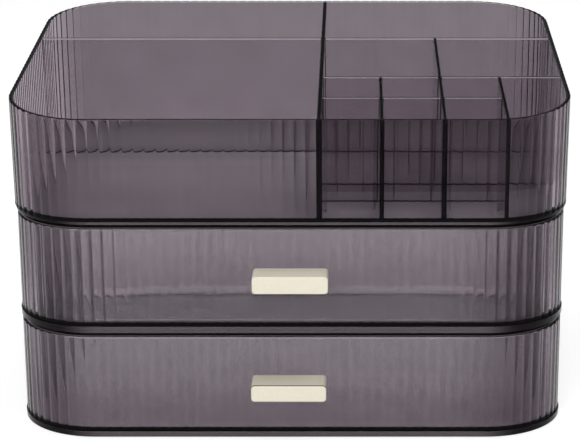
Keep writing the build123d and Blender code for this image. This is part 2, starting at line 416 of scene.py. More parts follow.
def speckled(name, light, dark, grain, roughness, metallic=0.0):
    """An opaque finish whose colour and gloss drift softly between two near colours, with a grain in millimetres:
    colour = light + share * (dark - light), where share follows a noise of that grain."""
    material, tree = new_material(name)
    place = add(tree, "ShaderNodeTexCoord")
    cloud = add(tree, "ShaderNodeTexNoise", [("Vector", place, "Object")], Scale=1 / (grain * MM), Detail=3.0)
    share = add(tree, "ShaderNodeMapRange", [("Value", cloud, 0)], From_Min=0.35, From_Max=0.65)
    colour = add(tree, "ShaderNodeMix", [("Factor", share, "Result")], data_type="RGBA",
                 A=linear(light), B=linear(dark))
    gloss = add(tree, "ShaderNodeMapRange", [("Value", cloud, 0)], To_Min=roughness * 0.8, To_Max=roughness * 1.2)
    skin = add(tree, "ShaderNodeBump", [("Height", cloud, 0)], Strength=1.0, Distance=SKIN_HEIGHT * MM)
    shader = add(tree, "ShaderNodeBsdfPrincipled",
                 [("Base_Color", colour, "Result"), ("Roughness", gloss, "Result"), ("Normal", skin, "Normal")],
                 Metallic=metallic)
    add(tree, "ShaderNodeOutputMaterial", [("Surface", shader, "BSDF")])
    return material


lacquer = speckled("champagne_lacquer_on_cast_metal", "EBE5D2", "E8E2CE", 2.0, 0.35)
# painted shade: the neck, where the bar meets the drawer, is dull dark olive
lacquer_neck_shade = speckled("champagne_lacquer_neck_painted_shade", "857E5E", "6A6449", 0.8, 0.5)
# a thin dark line painted along the lower bar's top front edge
lacquer_line = speckled("champagne_lacquer_painted_dark_line", "1C1A14", "14120E", 0.8, 0.5)
steel = speckled("zinc_plated_steel", "BDBDC1", "AFAFB4", 1.0, 0.32, 1.0)
print("opaque finishes:", lacquer.name, lacquer_neck_shade.name, lacquer_line.name, steel.name)

# %% [markdown]
# A clear piece keeps one clear material. Two of them on one body would go wrong: light that comes in by a face of the
# first and leaves by a face of the second stays in the first one's tint for the rest of its way. What differs from
# place to place is therefore written on the faces, as two values that the material reads. The first is painted
# shade: a tint that darkens what passes a face, standing for the light and shade that the object shows there. Haze is
# the share of light that is scattered there, as on a scuffed or a matt moulded face; on narrow strips it makes
# painted highlights.


# %% Stain and haze on the faces
def chosen_faces(obj, chosen):
    """True for each face that passes the test chosen, which is given all middles (millimetres) and normals."""
    polygons = obj.data.polygons
    return chosen(per_item(polygons, "center", 3) / MM, per_item(polygons, "normal", 3))


def face_values(obj, name):
    """The attribute haze (one number a face) or the painted shade (a colour a face), the field that holds it, and its
    values.
    """
    kind, field, width = {"haze": ("FLOAT", "value", 1), "painted_shade": ("FLOAT_COLOR", "color", 4)}[name]
    layer = obj.data.attributes.get(name) or obj.data.attributes.new(name, kind, "FACE")
    return layer, field, per_item(layer.data, field, width)


def face_finish(obj, chosen, haze=0.0, painted_shade="FFFFFF", towards=None):
    """Sets the haze of the chosen faces and multiplies their painted shade by a tint, which paints shade. towards =
    (axis, colour, start, end) blends the tint into another colour between two places in millimetres: tint = first
    colour * (1 - s) + colour * s, where s = 3 t^2 - 2 t^3 and t runs from 0 at start to 1 at end."""
    pick = chosen_faces(obj, chosen)
    axis, colour, start, end = towards or (X, painted_shade, 0, 1)
    place = per_item(obj.data.polygons, "center", 3)[pick, axis] / MM
    share = np.clip((place - start) / (end - start), 0, 1)
    share = (share * share * (3 - 2 * share))[:, None]
    tint = np.array(linear(painted_shade)) * (1 - share) + np.array(linear(colour)) * share
    layer, field, values = face_values(obj, "haze")
    values[pick] = haze
    layer.data.foreach_set(field, values.ravel())
    layer, field, values = face_values(obj, "painted_shade")
    values[pick] = values[pick] * tint
    layer.data.foreach_set(field, values.ravel())
    print("%s: %d faces with haze %g and stain %s" % (obj.name, pick.sum(), haze, painted_shade))


print("a face can carry", ("haze", "painted_shade"))

# %% [markdown]
# Opaque finishes may share a body with the clear one, since no light passes them. They go on single faces too.
# The last helper here gives a finished piece the body that it rides on and the material slot that it takes its finish
# from, and hides the CAD nodes that it stands for.


# %% Second finish and place in the frame
LOOKS_OUT = 5  # millimetres


def second_material(obj, material, chosen):
    """Adds an opaque material and gives it to the faces that pass the test chosen."""
    obj.data.materials.append(material)
    pick = chosen_faces(obj, chosen)
    index = per_item(obj.data.polygons, "material_index", 1, np.int32)
    index[pick] = len(obj.data.materials) - 1
    obj.data.polygons.foreach_set("material_index", index.ravel())
    print("%s: %d faces with %s" % (obj.name, pick.sum(), material.name))


def looks_outwards(at, up):
    """True for faces that look away from the object's upright middle axis: place . normal in plan is over 5 mm."""
    return (up * at)[:, :2].sum(axis=1) > LOOKS_OUT


def past_corner(at, corner_x, corner_y):
    """Distance in plan from the rectangle between the centres of the round corners: hypot of the ways past it."""
    return np.hypot(np.maximum(np.abs(at[:, X]) - corner_x, 0), np.maximum(np.abs(at[:, Y]) - corner_y, 0))


def finish_piece(obj, body, nodes, material):
    """Gives a piece its body and its material, and hides the CAD nodes that it stands for."""
    obj.data.materials.append(material)
    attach(obj, body)
    if nodes:
        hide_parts(*nodes)
    return obj


# %% [markdown]
# The tray is one moulding: a fluted wall round a flat floor, with a rim that climbs from front to back. The slope is
# read from two dividers of different length, whose tops follow the rim. Every ring of the stack is the same outline
# at its own inset, either level or at its own depth under the slope.


# %% One ring of the tray
MOST_INSET = 30  # a ring further in than this keeps its corner radius
long_back, column_back = box_mm("tray_long_divider")[1], box_mm("tray_middle_column_divider")[1]
RIM_SLOPE = (long_back[Z] - column_back[Z]) / (long_back[Y] - column_back[Y])


def rim_height(y):
    """Height of the rim at a depth y: height at the back + slope * distance from the back."""
    return tray_high[Z] + RIM_SLOPE * (y - TRAY_DEPTH / 2)


def tray_ring(inset, z=0.0, flutes=0.0, under_rim=None):
    """One ring: the outline moved inwards by inset, and outwards again by the share flutes of the flutes' height.
    Its height is z, or where under_rim is given, rim height - under_rim."""
    count = tray_flutes * POINTS_PER_FLUTE
    share = np.arange(count) / count
    drop = inset + FLUTE_DEPTH
    radius = TRAY_RADIUS - min(drop, MOST_INSET)
    place, outward = outline(TRAY_WIDTH - 2 * drop, TRAY_DEPTH - 2 * drop, radius, share)
    place = place + outward * (flutes * flute_height(share, tray_flutes))[:, None]
    height = np.full(count, z) if under_rim is None else rim_height(place[:, Y]) - under_rim
    return np.column_stack([place, height])


print("the rim climbs %.3f mm a millimetre, from %.1f to %.1f mm" % (
    RIM_SLOPE, rim_height(-TRAY_DEPTH / 2), rim_height(TRAY_DEPTH / 2)))

# %% [markdown]
# A moulding needs draft, so that it leaves its mould: the wall leans out by 0.6 mm from foot to rim. The floor is
# 1.5 mm thick, a millimetre less than in the CAD model, to look as pale as in the photograph. One more ring on top
# of the rim marks off its outer part, which looks black from the front.

# %% Tray shell
TRAY_FLOOR = 1.5
TRAY_FOOT = 2.4  # height of the dark foot band
TRAY_DRAFT = 0.6
RIM_EDGE = 0.3
RIM_LINE = 0.6  # width of the dark part of the rim
WALL_RINGS = 12
UNDERSIDE_INSET, FLOOR_INSET = 30, 20  # the last rings before the fans


def tray_shell():
    """Underside, outer wall, round rim, inner wall, fillet and floor, as one closed stack. Between foot and rim the
    outer wall is a blend of two rings: foot * (1 - share) + rim * share."""
    low_z, floor_z, thick = tray_low[Z], tray_low[Z] + TRAY_FLOOR, WALL - FLUTE_DEPTH
    rings = [tray_ring(UNDERSIDE_INSET, low_z)]
    rings += [tray_ring(TRAY_DRAFT + EDGE * (1 - s), low_z + EDGE * (1 - c), s) for s, c in round_edge]
    foot, rim = tray_ring(TRAY_DRAFT, low_z + TRAY_FOOT, 1), tray_ring(0, flutes=1, under_rim=RIM_EDGE)
    rings += [foot * (1 - share) + rim * share for share in np.linspace(0, 1, WALL_RINGS)[:-1]]
    rings += [tray_ring(RIM_EDGE * (1 - c), flutes=1, under_rim=RIM_EDGE * (1 - s)) for s, c in round_edge]
    rings += [tray_ring(RIM_LINE, under_rim=0)]
    rings += [tray_ring(thick - EDGE * (1 - s), under_rim=EDGE * (1 - c)) for s, c in round_edge]
    rings += [tray_ring(thick + TRAY_DRAFT + FILLET * (1 - c), floor_z + FILLET * (1 - s)) for s, c in round_edge]
    rings += [tray_ring(FLOOR_INSET, floor_z)]
    return closed_stack("tray_shell_clear", rings)


tray = finish_piece(tray_shell(), "tray", ["tray_shell"], smoke_tray)

# %% [markdown]
# In the photograph the tray is darker at its sides and in its corners, where the eye looks along the flutes, and its
# front is a little darker low down. A texture could hold that, but these soft changes follow the walls, so they are
# written on the wall's faces as painted shade. The floor gets a haze, as a matt underside would give it, and a
# painted shade of its own.

# %% Stains of the tray
CORNER_FADE = 30
REAR_FADE = (60, 105)  # depths between which the painted shade of the left wall darkens
HIGH_SHADE_FADE = (150, 168)  # heights between which the painted shade of the front fades
BAY_FOOT = 141  # under this height the front of the small bays has no painted shade
FLOOR_BAND = 1  # faces up to this height over the floor belong to it
SLANT = 0.5  # a face whose normal climbs less is upright, and one whose normal climbs more is level
divider_x = middle("tray_long_divider", X)


def tray_wall(at, up, side, front):
    """The upright faces on one side (-1 or 1), in front of where the side walls start or behind it."""
    return (np.abs(up[:, Z]) < SLANT) & (at[:, X] * side > 0) & ((at[:, Y] < -tray_corner_y) == front)


def tray_front(at, up):
    """The outer faces of the front and of its two corners."""
    return (at[:, Y] < -tray_corner_y) & looks_outwards(at, up)


# painted shade: the walls darken towards the corners and the back, the front low down, and the floor
for side in (-1, 1):
    face_finish(tray, lambda at, up: tray_wall(at, up, side, True),
                towards=(X, "C0B9BF", side * tray_corner_x, side * (tray_corner_x + CORNER_FADE)))
face_finish(tray, lambda at, up: tray_wall(at, up, -1, False), painted_shade="D0C9CF", towards=(Y, "8A8389", *REAR_FADE))
face_finish(tray, lambda at, up: tray_wall(at, up, 1, False), painted_shade="C0B9BF",
            towards=(Y, "8A8389", -tray_corner_y, 0))
face_finish(tray, lambda at, up: tray_front(at, up) & (at[:, X] < divider_x), painted_shade="E2DDE1",
            towards=(Z, "FFFFFF", *HIGH_SHADE_FADE))
face_finish(tray, lambda at, up: tray_front(at, up) & (at[:, X] > divider_x) & (at[:, Z] > BAY_FOOT),
            painted_shade="D8D3D7", towards=(Z, "EEEAED", *HIGH_SHADE_FADE))
face_finish(tray, lambda at, up: (up[:, Z] > SLANT) & (at[:, Z] < tray_low[Z] + TRAY_FLOOR + FLOOR_BAND),
            haze=0.45, painted_shade="D2CBD1")

# %% [markdown]
# Two narrow bands of the tray look black: the outer part of the rim, where the eye looks down along the wall, and
# the foot, where the wall meets the floor's edge.

# %% Dark rim and foot of the tray
WELL_ABOVE_FLOOR = 10
LEVEL = 0.8  # a face whose normal climbs more than this is a level top face


def rim_line(at, up):
    """The outer part of the rim's top, from the crests of the flutes to RIM_LINE inside their valleys."""
    outer = past_corner(at, tray_corner_x, tray_corner_y) > TRAY_RADIUS - FLUTE_DEPTH - RIM_LINE
    return (up[:, Z] > LEVEL) & (at[:, Z] > tray_low[Z] + TRAY_FLOOR + WELL_ABOVE_FLOOR) & outer


second_material(tray, dark_edge, lambda at, up: rim_line(at, up) | (
    (at[:, Z] < tray_low[Z] + TRAY_FOOT) & looks_outwards(at, up)))

# %% [markdown]
# The dividers are thin upright plates with a round top edge, taken to be welded to the floor and the walls. A box
# with a bevel modifier would be quicker, but it rounds the foot too. Here a profile across the plate is carried along
# its length, and its top points climb with the rim. Narrow strips at the foot and the ends are kept for the welds.


# %% Profile carried along a path
def swept_faces(rows, columns, flip=False):
    """Faces of a closed profile of columns points that is carried through rows places: quads between neighbouring
    places, and a flat cap at each end. flip turns them over, for a path that runs the other way round."""
    quads, here = ring_quads(rows, columns), np.arange(columns)
    caps = [here[::-1], (rows - 1) * columns + here]
    if flip:
        quads, caps = quads[:, [0, 3, 2, 1]], [cap[::-1] for cap in caps]
    return quads.tolist() + [cap.tolist() for cap in caps]


print("a square profile through 3 places has", len(swept_faces(3, 4)), "faces")

# %% One plate of a divider
DIVIDER_EDGE = 0.7
SEAM = 0.35  # height of the weld at the foot, painted black
END_SEAM = 0.2  # width of the weld at an end, painted black
BEAD = 0.3  # how far the weld bead at the front stands out on each side
INNER_PLACES = 9


def divider_solid(start, end, thickness, base_z, bead=0.0):
    """Points and faces of one upright plate from start to end in plan. Point = start + share * (end - start) +
    side * distance across. Its height is that of the foot, or rim height - drop on the round top edge."""
    start, end = np.array(start, float), np.array(end, float)
    length = np.linalg.norm(end - start)
    along = (end - start) / length
    side = np.array([along[Y], -along[X]])
    sine, cosine = quarter_turn(4)
    half = thickness / 2
    across = np.concatenate([[-half, -half], -half + DIVIDER_EDGE * (1 - cosine),
                             half - DIVIDER_EDGE * (1 - cosine[::-1]), [half, half]])
    drop = np.concatenate([[0, 0], DIVIDER_EDGE * (1 - sine), DIVIDER_EDGE * (1 - sine[::-1]), [0, 0]])
    foot = np.full(len(across), np.nan)
    foot[[0, -1]], foot[[1, -2]] = base_z, base_z + SEAM
    ends = np.array([0, 1, 4]) * END_SEAM / length
    steps = np.concatenate([ends, np.linspace(0, 1, INNER_PLACES)[1:-1], 1 - ends[1::-1]])
    wider = np.ones(len(steps))
    wider[:2] += bead / half
    plan = start + (end - start) * steps[:, None]
    grid = plan[:, None, :] + side * across[None, :, None] * wider[:, None, None]
    height = np.where(np.isnan(foot)[None, :], rim_height(grid[..., Y]) - drop[None, :], foot[None, :])
    points = np.concatenate([grid, height[..., None]], axis=2)
    return points.reshape(-1, 3), swept_faces(*points.shape[:2])


print("one plate of 50 mm has", len(divider_solid((0, 0), (50, 0), THIN_DIVIDER, 0)[0]), "points")

# %% [markdown]
# Where two dividers cross, the CAD model laps them with notches. Here the left-to-right one is made in separate
# lengths, with a hair of air at each crossing, so that no two clear bodies overlap: that would look like a third
# plastic. A divider has three finishes of its own: a weld at its foot and ends and a top edge, both painted black,
# and a thin light line along the front of that edge, a painted highlight.


# %% Divider pieces
JOINT_GAP = 0.03
STRIP_SHARE = 0.6  # a face with its middle within this share of a seam's width belongs to the seam
FACES_FRONT = -0.2  # the normal of a face that looks forwards goes below this in y
LIT_EDGE, REAR_LIT_EDGE = 0.3, 0.1  # the painted highlight's faces climb more than this; it is wider on the rear divider


def divider(word, lengths, thickness):
    """One divider piece from one or more lengths ((x, y), (x, y)) in plan, with its welds and edge painted black and
    its painted highlight line.
    """
    node = "tray_" + word + "_divider"
    base_z = tray_low[Z] + TRAY_FLOOR + JOINT_GAP
    run = np.abs(np.subtract(*lengths[0]))
    axis = int(run[Y] > run[X])
    points, faces, total = [], [], 0
    for start, end in lengths:
        solid_points, solid_faces = divider_solid(start, end, thickness, base_z, BEAD * axis)
        points.append(solid_points)
        faces += [[i + total for i in face] for face in solid_faces]
        total += len(solid_points)
    piece = object_from(node + "_clear", np.concatenate(points), faces)
    finish_piece(piece, "tray", [node], smoke_divider)
    limits = np.array([[start[axis], end[axis]] for start, end in lengths]).ravel()

    def welded(at, up):
        """The faces next to the foot, or next to an end of a length."""
        near = np.abs(at[:, axis, None] - limits[None, :]).min(axis=1) < END_SEAM * STRIP_SHARE
        return (at[:, Z] < base_z + SEAM * STRIP_SHARE) | near

    # the welds and the top edge are painted black
    second_material(piece, seam, welded)
    second_material(piece, dark_edge, lambda at, up: up[:, Z] > LEVEL)
    # painted highlight: a matt, grey strip along the front of the top edge
    lit_from = REAR_LIT_EDGE if word == "rear_cross" else LIT_EDGE
    face_finish(piece, lambda at, up: (up[:, Z] > lit_from) & (up[:, Z] < LEVEL) & (up[:, Y] < FACES_FRONT),
                haze=0.6, painted_shade="B9AFB8")


def wall_face_y(x):
    """Depth of the front wall's inner face at x, on the straight or in the corner: centre of the corner -
    sqrt(inner radius^2 - way past the centre^2)."""
    past = max(abs(x) - tray_corner_x, 0)
    return -tray_corner_y - math.sqrt((TRAY_RADIUS - WALL) ** 2 - past ** 2)


print("the inner face of the front wall stands at y =", round(wall_face_y(0), 2), "mm")

# %% [markdown]
# The places of the dividers come from their CAD nodes. One long divider parts the tray from front to back. Three
# cross dividers run from side to side, and three short columns part the front right quarter into small bays.

# %% Dividers in their places
half_long, half_thin = WALL / 2 + JOINT_GAP, THIN_DIVIDER / 2 + JOINT_GAP
side_x, back_y = TRAY_WIDTH / 2 - WALL - JOINT_GAP, TRAY_DEPTH / 2 - WALL - JOINT_GAP
columns = ("inner_column", "middle_column", "outer_column")
column_xs = [middle("tray_" + word + "_divider", X) for word in columns]
rear_y, middle_y, front_y = [middle("tray_" + word + "_cross_divider", Y) for word in ("rear", "middle", "front")]

divider("long", [((divider_x, wall_face_y(divider_x) + JOINT_GAP), (divider_x, back_y))], WALL)
for word, x, end_y in zip(columns, column_xs, (middle_y, rear_y, middle_y)):
    reach = wall_face_y(x + THIN_DIVIDER / 2) + JOINT_GAP
    divider(word, [((x, reach), (x, end_y - half_thin))], THIN_DIVIDER)


def cross(word, y, lengths):
    """A left-to-right divider at depth y, made of lengths (x, x)."""
    divider(word, [((from_x, y), (to_x, y)) for from_x, to_x in lengths], THIN_DIVIDER)


right_of_long = divider_x + half_long
left_of = [x - half_thin for x in column_xs]
right_of = [x + half_thin for x in column_xs]
cross("rear_cross", rear_y, [(-side_x, divider_x - half_long), (right_of_long, side_x)])
cross("middle_cross", middle_y, [(right_of_long, left_of[1]), (right_of[1], side_x)])
cross("front_cross", front_y, [(right_of_long, left_of[0]), (right_of[0], left_of[1]), (right_of[1], left_of[2])])
print("dividers at x", np.round([divider_x] + column_xs, 1), "and y", np.round([rear_y, middle_y, front_y], 1))

# %% [markdown]
# The base plate, the shelf and the deck are smooth plates with softly rounded edges, a little proud of the fluted
# walls. A bevelled box could make them, but the ring stack is there already and puts a ring where a finish ends.
# From the front the edge shows as a grey band that darkens towards the corners, with a black line over it. The band
# is a haze with painted shade on the edge faces, darker towards the corners, and the line is the outer 2.5 mm of the
# top, where light is trapped.


# %% Plates
PLATE_EDGE = 0.2
PLATE_LEDGE = 2.5
BAND_START, BAND_END = 5, 18  # the painted shade of the band darkens from 5 mm before the corner to 18 mm past its start
STEEP = 0.97  # a face whose normal climbs more than this is level


def plate(node):
    """A rounded plate as a closed stack of rings: (inset, height) along the underside, round the edge and along the
    top."""
    low, high = box_mm(node)
    width, depth = high[X] - low[X], high[Y] - low[Y]
    radius = CORNER_RADIUS + (width - CASE_WIDTH) / 2
    corner_x, corner_y = width / 2 - radius, depth / 2 - radius
    count = case_flutes * POINTS_PER_FLUTE // 4
    profile = [(UNDERSIDE_INSET, low[Z])]
    profile += [(PLATE_EDGE * (1 - s), low[Z] + PLATE_EDGE * (1 - c)) for s, c in round_edge]
    profile += [(PLATE_EDGE * (1 - c), high[Z] - PLATE_EDGE * (1 - s)) for s, c in round_edge]
    profile += [(PLATE_LEDGE, high[Z]), (UNDERSIDE_INSET, high[Z])]
    rings = []
    for inset, z in profile:
        place, _ = outline(width - 2 * inset, depth - 2 * inset, radius - inset, np.arange(count) / count)
        rings.append(np.column_stack([place, np.full(count, z)]))
    slab = finish_piece(closed_stack(node + "_clear", rings), "case", [node], smoke_sheet)
    # painted shade: the grey edge band darkens towards the round corners
    for side in (-1, 1):
        face_finish(slab, lambda at, up: (np.abs(up[:, Z]) < STEEP) & (at[:, X] * side > 0), 0.15, "CFC4CC",
                    (X, "4E494D", side * (corner_x - BAND_START), side * (corner_x + BAND_END)))
    second_material(slab, dark_edge, lambda at, up: (up[:, Z] > STEEP) & (
        past_corner(at, corner_x, corner_y) > radius - PLATE_LEDGE))


for node in ("base_plate", "middle_shelf", "top_deck"):
    plate(node)

# %% [markdown]
# The case walls are U-shaped: a strip of fluted wall goes from the left front edge round the back to the right front
# edge, and the drawer fronts close the gap. A ring stack can't be open, so the strip is a profile carried along a
# stretch of the outline. The profile's outer points ride on the flutes, and its two ends are capped.


# %% Strip of wall
def swept_strip(name, share, profile):
    """A profile of (distance inwards, height, share of the flutes) carried along a stretch of the case outline.
    Point = place on the outline of the valleys + outward * (flute height * its share - distance inwards)."""
    place, outward = outline(CASE_WIDTH - 2 * FLUTE_DEPTH, CASE_DEPTH - 2 * FLUTE_DEPTH,
                             CORNER_RADIUS - FLUTE_DEPTH, share % 1.0)
    lift = flute_height(share, case_flutes)
    strips = []
    for inwards, z, flutes in profile:
        ring = place + outward * (lift * flutes - inwards)[:, None]
        strips.append(np.column_stack([ring, np.full(len(share), z)]))
    points = np.stack(strips, axis=1)
    return object_from(name, points.reshape(-1, 3), swept_faces(*points.shape[:2], flip=True))


def round_profile(outer, inner, bottom, top, edge, flutes):
    """A rectangle with four round corners as (distance inwards, height, share of the flutes)."""
    turn = list(zip(*quarter_turn(3)))
    profile = [(outer + edge * (1 - s), bottom + edge * (1 - c), s * flutes) for s, c in turn]
    profile += [(outer + edge * (1 - c), top - edge * (1 - s), c * flutes) for s, c in turn]
    profile += [(inner - edge * (1 - s), top - edge * (1 - c), 0) for s, c in turn]
    profile += [(inner - edge * (1 - c), bottom + edge * (1 - s), 0) for s, c in turn]
    return profile


print("the wall's profile has", len(round_profile(0, WALL, 0, 57, EDGE, 1)), "points")

# %% [markdown]
# The photograph shows the case walls only through the drawer fronts. Their painted shade was matched there: it is
# full in front and fades out towards the back, so that the middle of the drawers stays pale and their sides look dark.

# %% Case walls
CLEAR_DEPTH = 100  # from this depth on the case walls have no painted shade
WALL_SHADE_END = 40  # up to this depth their painted shade is full


def case_wall(node):
    """The wall from the left front edge round the back to the right front edge: shares begin to 1 - begin, where
    begin = end of the front corner + gap behind it / length of the outline."""
    low, high = box_mm(node)
    begin = front_share + (low[Y] - DRAWER_FRONT_END) / case_length
    share = np.linspace(begin, 1 - begin, int(case_flutes * POINTS_PER_FLUTE * (1 - 2 * begin)))
    profile = round_profile(0, WALL - FLUTE_DEPTH, low[Z], high[Z], EDGE, 1)
    wall = swept_strip(node + "_clear", share, profile)
    # painted shade: the case wall is darker in front, so that the drawers' sides look dark
    face_finish(wall, lambda at, up: at[:, Z] > 0, painted_shade="A19A9F",
                towards=(Y, "FFFFFF", WALL_SHADE_END, CLEAR_DEPTH))
    finish_piece(wall, "case", [node], smoke_case)


case_wall("lower_case_wall")
case_wall("upper_case_wall")

# %% [markdown]
# The photograph has a black line over each drawer. It is taken for a low rib under the front edge of the deck and of
# the shelf, which stiffens the plate and covers the slit: light that enters it stays trapped between its faces. A
# painted line would do from the front only. The rib is the same kind of strip as a wall, without flutes.

# %% Front ribs
EDGE_FACE = 0.2  # a face whose normal climbs less than this is upright
RIB_DEPTH = 12.0
RIB_SETBACK = 1.2
RIB_CLEARANCE = 0.1
RIB_POINTS = 260
LEDGE = 0.6
LEDGE_HEIGHT = 0.2
LEDGE_RISE = 0.2


def front_rib(name, tub, plate_node):
    """A rib under a plate, from the left corner along the front to the right corner: a flat bar with a small ledge
    that slopes up to its front face."""
    bottom = box_mm(tub)[1][Z] + RIB_CLEARANCE
    top = box_mm(plate_node)[0][Z] - JOINT_GAP
    ledge = bottom + LEDGE_HEIGHT
    profile = [(RIB_SETBACK - LEDGE, bottom, 0), (RIB_SETBACK - LEDGE, ledge, 0), (RIB_SETBACK, ledge + LEDGE_RISE, 0),
               (RIB_SETBACK, top, 0), (RIB_SETBACK + RIB_DEPTH, top, 0), (RIB_SETBACK + RIB_DEPTH, bottom, 0)]
    rib = swept_strip(name, np.linspace(-front_share, front_share, RIB_POINTS), profile)
    finish_piece(rib, "case", [], smoke_rib)
    # the sloping ledge is made matt grey to show as a thin light line, a painted highlight
    face_finish(rib, lambda at, up: (up[:, Z] > EDGE_FACE) & (up[:, Z] < STEEP), haze=0.4, painted_shade="958C93")
    second_material(rib, dark_edge, lambda at, up: (np.abs(up[:, Z]) < EDGE_FACE) & (at[:, Z] > ledge + LEDGE_RISE)
                    & looks_outwards(at, up))


front_rib("upper_front_rib_clear", "upper_drawer_tub", "top_deck")
front_rib("lower_front_rib_clear", "lower_drawer_tub", "middle_shelf")

# %% [markdown]
# Each drawer is one moulding. Its front carries the flutes and the round corners at the full width of the case, then
# steps inwards to a plain box that runs between the case walls. Two separate bodies would show a seam that the
# photograph doesn't have, so one closed outline in plan does both: along the front, then round the narrower box.


# %% Plan of a drawer
SIDE_GAP = 0.5
MOST_FRONT_INSET = 25
BOX_POINTS = 180


def tub_outline(inset, flutes):
    """Plan of the drawer, inset from its outer face. Front: outline point + outward * share of the flutes * their
    height, cut off where the corners end. Box: the outline that lies one wall and one gap further in."""
    end_y = DRAWER_FRONT_END - min(inset, WALL)
    width, depth = CASE_WIDTH - 2 * (FLUTE_DEPTH + inset), CASE_DEPTH - 2 * (FLUTE_DEPTH + inset)
    radius = CORNER_RADIUS - FLUTE_DEPTH - min(inset, MOST_FRONT_INSET)
    share = np.linspace(-front_share, front_share, round(2 * front_share * case_flutes * POINTS_PER_FLUTE))
    reach = (width / 2 - radius + math.pi * radius / 2) / outline_length(width, depth, radius)
    place, outward = outline(width, depth, radius, (share / front_share * reach) % 1.0)
    front = place + outward * (flutes * flute_height(share, case_flutes))[:, None]
    front[:, Y] = np.minimum(front[:, Y], end_y)
    box_inset = WALL + SIDE_GAP + inset
    width, depth = CASE_WIDTH - 2 * box_inset, CASE_DEPTH - 2 * box_inset
    radius = CORNER_RADIUS - min(box_inset, MOST_INSET)
    walked = width / 2 - radius + math.pi * radius / 2 + max(end_y + depth / 2 - radius, 0)
    begin = walked / outline_length(width, depth, radius)
    box, _ = outline(width, depth, radius, np.linspace(begin, 1 - begin, BOX_POINTS))
    box[[0, -1], Y] = end_y
    return np.concatenate([front, box])


print("a drawer's plan has", len(tub_outline(0, 1)), "points")

# %% [markdown]
# The tub is a stack of such plans, as the tray was. Its floor is 1.7 mm thick and 2.1 mm in the CAD model, again to
# look pale enough. Rings are set where a finish ends: over the dark foot, and under the lip, a narrow grey band.

# %% Drawer tubs
DRAWER_FLOOR = 1.7
FOOT_EDGE = 0.15
FOOT_BAND = 0.3  # the dark foot reaches this far above the floor
LIP = 0.35
TUB_UNDERSIDE_INSET, TUB_FLOOR_INSET = 6, 8


def drawer_tub(word):
    """Underside, outer wall, round top edge, inner wall, fillet and floor, as one closed stack of plans."""
    node = word + "_drawer_tub"
    low, high = box_mm(node)
    thick, floor_z = WALL - FLUTE_DEPTH, low[Z] + DRAWER_FLOOR

    def ring(inset, z, flutes=0.0):
        """The plan at a level height."""
        plan = tub_outline(inset, flutes)
        return np.column_stack([plan, np.full(len(plan), z)])

    rings = [ring(TUB_UNDERSIDE_INSET, low[Z])]
    rings += [ring(FOOT_EDGE * (1 - s), low[Z] + FOOT_EDGE * (1 - c), s) for s, c in round_edge]
    rings += [ring(0, z, 1) for z in np.linspace(floor_z + FOOT_BAND, high[Z] - EDGE - LIP, WALL_RINGS)]
    rings += [ring(EDGE * (1 - c), high[Z] - EDGE * (1 - s), c) for s, c in round_edge]
    rings += [ring(thick - EDGE * (1 - s), high[Z] - EDGE * (1 - c)) for s, c in round_edge]
    rings += [ring(thick + FILLET * (1 - c), floor_z + FILLET * (1 - s)) for s, c in round_edge]
    rings += [ring(TUB_FLOOR_INSET, floor_z)]
    plastic = {"upper": smoke_upper_drawer, "lower": smoke_lower_drawer}[word]
    return finish_piece(closed_stack(node + "_clear", rings), word + "_drawer", [node], plastic)


tubs = {word: drawer_tub(word) for word in ("lower", "upper")}

# %% [markdown]
# The drawer fronts look striped: each flute is a weak lens, dark where its plastic is thickest, and round the corners
# its valleys turn dark. The mesh bends the light that way by itself, but over an even background too weakly to be
# seen, so painted shade follows the flutes as well. That needs the place of each face on the outline, found from x and
# y.


# %% Stripes on the drawer fronts
CREST_SHADE = 0.11
VALLEY_SHADE = 0.6
VALLEY_GROWTH = 2  # the valleys have their full shade half a radian into the corner


def stripe_front(tub, chosen):
    """Multiplies the painted shade of the chosen front faces by 1 - crest shade * (height - mean height) - valley shade
    * turned * (1 - height)^2. Height is the flute's, from 0 to 1, and turned grows from 0 to 1 into the corner. Share
    of the outline = (way along the front + inner radius * angle) / (the same at the corner's end) * its share."""
    pick = chosen_faces(tub, chosen)
    place = per_item(tub.data.polygons, "center", 3)[pick] / MM
    x, inner = np.abs(place[:, X]), CORNER_RADIUS - FLUTE_DEPTH
    heading = np.arctan2(np.maximum(x - case_corner_x, 0), DRAWER_FRONT_END - place[:, Y])
    distance = np.minimum(x, case_corner_x) + inner * heading
    share = np.sign(place[:, X]) * distance / (case_corner_x + inner * math.pi / 2) * front_share
    height = flute_height(share, case_flutes) / FLUTE_DEPTH
    turned = np.clip(heading * VALLEY_GROWTH, 0, 1)
    shade = 1 - CREST_SHADE * (height - height.mean()) - VALLEY_SHADE * turned * (1 - height) ** 2
    layer, field, values = face_values(tub, "painted_shade")
    values[pick, :3] = np.minimum(values[pick, :3] * shade[:, None], 1)
    layer.data.foreach_set(field, values.ravel())
    print("%s: %d striped faces, shade %.2f to %.2f" % (tub.name, pick.sum(), shade.min(), shade.max()))


print("stripes: %g of the light on a crest, %g in a valley of a corner" % (CREST_SHADE, VALLEY_SHADE))

# %% [markdown]
# The rest of a drawer's finish follows the photograph as painted shade: box walls that are darker near the front,
# fronts that are a little hazy and darker towards their corners, a grey lip that is a painted highlight, and a foot
# painted black. The upper front gets darker with height, and the lower one has one tint.

# %% Finish of the drawers
FRONT_HAZE = 0.04
FRONT_PAINTED_SHADES = {"upper": ("FFFAFE", "DFDADE", "B2ABB1"), "lower": ("EFEAEE", "EFEAEE", "AAA3A9")}
SHADE_FROM, SHADE_TO = 4, 30  # heights above the drawer's foot
SHADE_LEFT, SHADE_RIGHT, SHADE_END = 0, -30, 25  # ways past the start of the corner
BOX_SHADE_END = 60  # up to this depth the painted shade of the box walls is full
